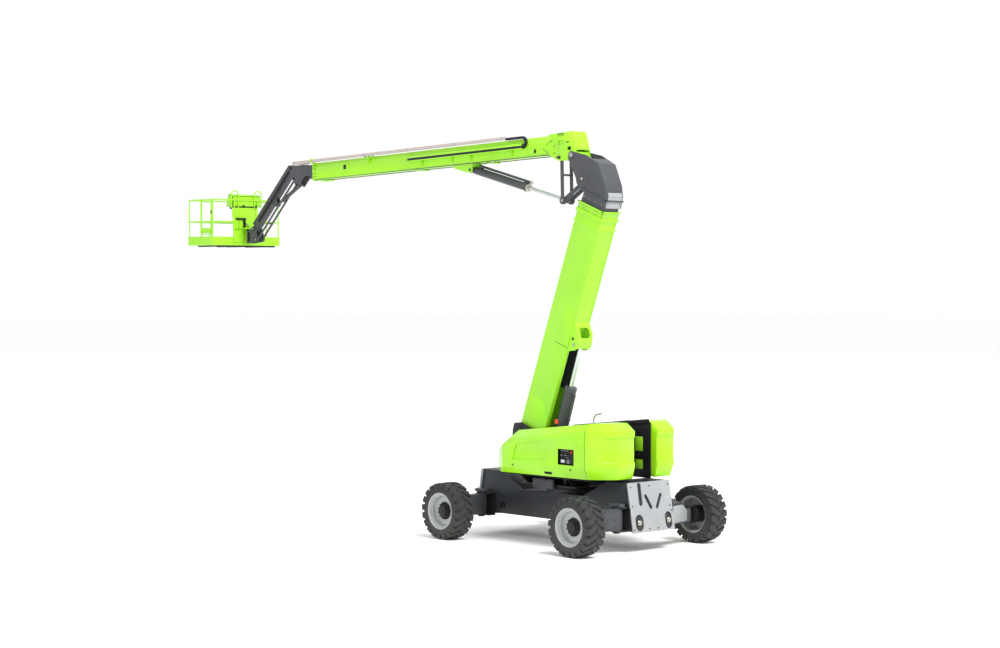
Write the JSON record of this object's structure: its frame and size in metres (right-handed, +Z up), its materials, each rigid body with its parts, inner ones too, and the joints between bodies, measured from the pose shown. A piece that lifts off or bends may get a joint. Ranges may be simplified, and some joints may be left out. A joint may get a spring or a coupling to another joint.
{
  "type": "articulating boom lift with telescoping riser and jib",
  "caption": "Self-propelled articulating boom lift: four swing axles, slewing turntable, telescoping riser and boom on linked cylinders, and a jib with a work platform.",
  "frame": {"origin": "on the ground under the slewing axis", "axes": "+X forward under the raised boom, +Y to the machine's left, +Z up"},
  "size_m": [15.003, 3.875, 8.3013],
  "materials": {
    "lime_paint": "gloss",
    "lime_cover": "gloss moulded cover",
    "dark_grey": "satin",
    "cylinder_grey": "satin",
    "chassis_paint": "satin",
    "plate_grey": "satin",
    "hub_black": "satin",
    "rod_chrome": "polished",
    "tyre_rubber": "matt",
    "rim_silver": "satin",
    "engine_black": "matt",
    "tank_grey": "satin",
    "panel_black": "matt",
    "beacon_red": "gloss",
    "chain_black": "matt",
    "tube_grey": "satin"
  },
  "bodies": {
    "base": {"chassis": "chassis_paint", "end_plates": "plate_grey"},
    "turntable": {"turntable": "dark_grey", "counterweight_left": "lime_paint", "counterweight_right": "lime_paint", "engine": "engine_black", "tanks": "tank_grey", "control_panel": "panel_black"},
    "hood_left": {"hood_left": "lime_cover", "beacon": "beacon_red"},
    "hood_right": {"hood_right": "lime_cover"},
    "riser": {"riser": "lime_paint"},
    "riser_barrel": {"riser_barrel": "cylinder_grey"},
    "riser_rod": {"riser_rod": "rod_chrome"},
    "riser_inner": {"riser_inner": "dark_grey", "knuckle_head": "dark_grey"},
    "boom": {"boom": "lime_paint", "hose_loop": "chain_black"},
    "boom_mid": {"boom_mid": "dark_grey"},
    "boom_fly": {"boom_fly": "dark_grey", "push_tube": "tube_grey"},
    "link_a": {"link_a": "dark_grey"},
    "link_b": {"link_b": "dark_grey"},
    "lift_barrel": {"lift_barrel": "cylinder_grey"},
    "lift_rod": {"lift_rod": "rod_chrome"},
    "jib": {"jib": "dark_grey"},
    "jib_link": {"jib_link": "dark_grey"},
    "jib_barrel": {"jib_barrel": "cylinder_grey"},
    "jib_rod": {"jib_rod": "rod_chrome"},
    "jib_bracket": {"jib_bracket": "dark_grey"},
    "platform": {"platform": "lime_paint", "console": "panel_black"},
    "gate": {"gate": "lime_paint"},
    "swing_arm_front_left": {"swing_arm_front_left": "dark_grey"},
    "knuckle_front_left": {"knuckle_front_left": "hub_black"},
    "wheel_front_left": {"tyre_front_left": "tyre_rubber", "rim_front_left": "rim_silver"},
    "swing_arm_front_right": {"swing_arm_front_right": "dark_grey"},
    "knuckle_front_right": {"knuckle_front_right": "hub_black"},
    "wheel_front_right": {"tyre_front_right": "tyre_rubber", "rim_front_right": "rim_silver"},
    "swing_arm_rear_left": {"swing_arm_rear_left": "dark_grey"},
    "knuckle_rear_left": {"knuckle_rear_left": "hub_black"},
    "wheel_rear_left": {"tyre_rear_left": "tyre_rubber", "rim_rear_left": "rim_silver"},
    "swing_arm_rear_right": {"swing_arm_rear_right": "dark_grey"},
    "knuckle_rear_right": {"knuckle_rear_right": "hub_black"},
    "wheel_rear_right": {"tyre_rear_right": "tyre_rubber", "rim_rear_right": "rim_silver"}
  },
  "joints": [
    {"name": "slew", "type": "hinge", "parent": "base", "child": "turntable", "pos_m": [0, 0, 1.15], "axis": [0, 0, 1], "continuous": true},
    {"name": "swing_front_left", "type": "hinge", "parent": "base", "child": "swing_arm_front_left", "pos_m": [1.98, 0.72, 0.65], "axis": [0, 0, -1], "range_deg": [0, 40]},
    {"name": "steer_front_left", "type": "hinge", "parent": "swing_arm_front_left", "child": "knuckle_front_left", "pos_m": [1.895, 1.36, 0.578], "axis": [0, 0, 1], "range_deg": [-40, 40]},
    {"name": "wheel_spin_front_left", "type": "hinge", "parent": "knuckle_front_left", "child": "wheel_front_left", "pos_m": [1.895, 1.715, 0.578], "axis": [0, 1, 0], "continuous": true},
    {"name": "swing_front_right", "type": "hinge", "parent": "base", "child": "swing_arm_front_right", "pos_m": [1.98, -0.72, 0.65], "axis": [0, 0, 1], "range_deg": [0, 40]},
    {"name": "steer_front_right", "type": "hinge", "parent": "swing_arm_front_right", "child": "knuckle_front_right", "pos_m": [1.895, -1.36, 0.578], "axis": [0, 0, -1], "range_deg": [-40, 40]},
    {"name": "wheel_spin_front_right", "type": "hinge", "parent": "knuckle_front_right", "child": "wheel_front_right", "pos_m": [1.895, -1.715, 0.578], "axis": [0, 1, 0], "continuous": true},
    {"name": "swing_rear_left", "type": "hinge", "parent": "base", "child": "swing_arm_rear_left", "pos_m": [-1.98, 0.72, 0.65], "axis": [0, 0, 1], "range_deg": [0, 40]},
    {"name": "steer_rear_left", "type": "hinge", "parent": "swing_arm_rear_left", "child": "knuckle_rear_left", "pos_m": [-1.895, 1.36, 0.578], "axis": [0, 0, -1], "range_deg": [-40, 40]},
    {"name": "wheel_spin_rear_left", "type": "hinge", "parent": "knuckle_rear_left", "child": "wheel_rear_left", "pos_m": [-1.895, 1.715, 0.578], "axis": [0, 1, 0], "continuous": true},
    {"name": "swing_rear_right", "type": "hinge", "parent": "base", "child": "swing_arm_rear_right", "pos_m": [-1.98, -0.72, 0.65], "axis": [0, 0, -1], "range_deg": [0, 40]},
    {"name": "steer_rear_right", "type": "hinge", "parent": "swing_arm_rear_right", "child": "knuckle_rear_right", "pos_m": [-1.895, -1.36, 0.578], "axis": [0, 0, 1], "range_deg": [-40, 40]},
    {"name": "wheel_spin_rear_right", "type": "hinge", "parent": "knuckle_rear_right", "child": "wheel_rear_right", "pos_m": [-1.895, -1.715, 0.578], "axis": [0, 1, 0], "continuous": true},
    {"name": "hood_left_open", "type": "hinge", "parent": "turntable", "child": "hood_left", "pos_m": [-1.575, 0.282, 2.488], "axis": [0.9942, 0, -0.1076], "range_deg": [0, 50]},
    {"name": "hood_right_open", "type": "hinge", "parent": "turntable", "child": "hood_right", "pos_m": [-1.575, -0.282, 2.488], "axis": [-0.9942, 0, 0.1076], "range_deg": [0, 50]},
    {"name": "riser_lift", "type": "hinge", "parent": "turntable", "child": "riser", "pos_m": [1.22, 0, 1.8], "axis": [0, 1, 0], "range_deg": [-62, 4]},
    {"name": "riser_barrel_tilt", "type": "hinge", "parent": "turntable", "child": "riser_barrel", "pos_m": [0.66, 0, 1.32], "axis": [0, 1, 0], "range_deg": [-66, 10]},
    {"name": "riser_rod_slide", "type": "slide", "parent": "riser_barrel", "child": "riser_rod", "axis": [-0.3244, 0, 0.9459], "range_m": [-0.82, 0.12]},
    {"name": "riser_extend", "type": "slide", "parent": "riser", "child": "riser_inner", "axis": [-0.3558, 0, 0.9346], "range_m": [0, 2.7]},
    {"name": "boom_lift", "type": "hinge", "parent": "riser_inner", "child": "boom", "pos_m": [-0.20304, 0, 7.80671], "axis": [0, -1, 0], "range_deg": [-62, 78]},
    {"name": "link_a_swing", "type": "hinge", "parent": "boom", "child": "link_a", "pos_m": [0.182, 0, 7.771], "axis": [0, -1, 0], "range_deg": [-62, 50]},
    {"name": "link_b_swing", "type": "hinge", "parent": "riser_inner", "child": "link_b", "pos_m": [-0.52072, 0, 7.3145], "axis": [0, -1, 0], "range_deg": [-35, 42]},
    {"name": "lift_barrel_tilt", "type": "hinge", "parent": "boom", "child": "lift_barrel", "pos_m": [3.007, 0, 7.641], "axis": [0, -1, 0], "range_deg": [-6, 6]},
    {"name": "lift_rod_slide", "type": "slide", "parent": "lift_barrel", "child": "lift_rod", "axis": [-0.9682, 0, -0.2503], "range_m": [-0.72, 0.86]},
    {"name": "boom_extend", "type": "slide", "parent": "boom", "child": "boom_mid", "axis": [0.9997, 0, -0.0262], "range_m": [0, 3.4]},
    {"name": "fly_extend", "type": "slide", "parent": "boom_mid", "child": "boom_fly", "axis": [0.9997, 0, -0.0262], "range_m": [0, 3.4]},
    {"name": "jib_lift", "type": "hinge", "parent": "boom_fly", "child": "jib", "pos_m": [9.5, 0, 7.95], "axis": [0, -1, 0], "range_deg": [-18, 85]},
    {"name": "jib_link_swing", "type": "hinge", "parent": "boom_fly", "child": "jib_link", "pos_m": [9.37, 0, 7.69], "axis": [0, -1, 0], "range_deg": [-19, 86]},
    {"name": "jib_level", "type": "hinge", "parent": "jib", "child": "jib_bracket", "pos_m": [11.04, 0, 6.54], "axis": [0, -1, 0], "range_deg": [-86, 19]},
    {"name": "jib_barrel_tilt", "type": "hinge", "parent": "boom_fly", "child": "jib_barrel", "pos_m": [9.249, 0, 7.548], "axis": [0, -1, 0], "range_deg": [-17, 70]},
    {"name": "jib_rod_slide", "type": "slide", "parent": "jib_barrel", "child": "jib_rod", "axis": [0.8988, 0, -0.4384], "range_m": [-0.15, 0.56]},
    {"name": "platform_turn", "type": "hinge", "parent": "jib_bracket", "child": "platform", "pos_m": [11.29, 0, 6.54], "axis": [0, 0, 1], "range_deg": [-90, 90]},
    {"name": "gate_swing", "type": "hinge", "parent": "platform", "child": "gate", "pos_m": [12.005, 0.969, 6.8], "axis": [0, 0, -1], "range_deg": [0, 90]}
  ],
  "couplings": [
    {"joint": "riser_barrel_tilt", "follows": "riser_lift", "ratio": 1.04},
    {"joint": "riser_rod_slide", "follows": "riser_lift", "m_per_rad": 0.7162},
    {"joint": "link_a_swing", "follows": "boom_lift", "ratio": -0.76},
    {"joint": "link_b_swing", "follows": "boom_lift", "ratio": 0.5},
    {"joint": "lift_barrel_tilt", "follows": "boom_lift", "ratio": -0.055},
    {"joint": "lift_rod_slide", "follows": "boom_lift", "m_per_rad": 0.5873},
    {"joint": "fly_extend", "follows": "boom_extend", "ratio": 1},
    {"joint": "jib_link_swing", "follows": "jib_lift", "ratio": 1},
    {"joint": "jib_level", "follows": "jib_lift", "ratio": -1},
    {"joint": "jib_barrel_tilt", "follows": "jib_lift", "ratio": 0.806},
    {"joint": "jib_rod_slide", "follows": "jib_lift", "m_per_rad": 0.371}
  ]
}
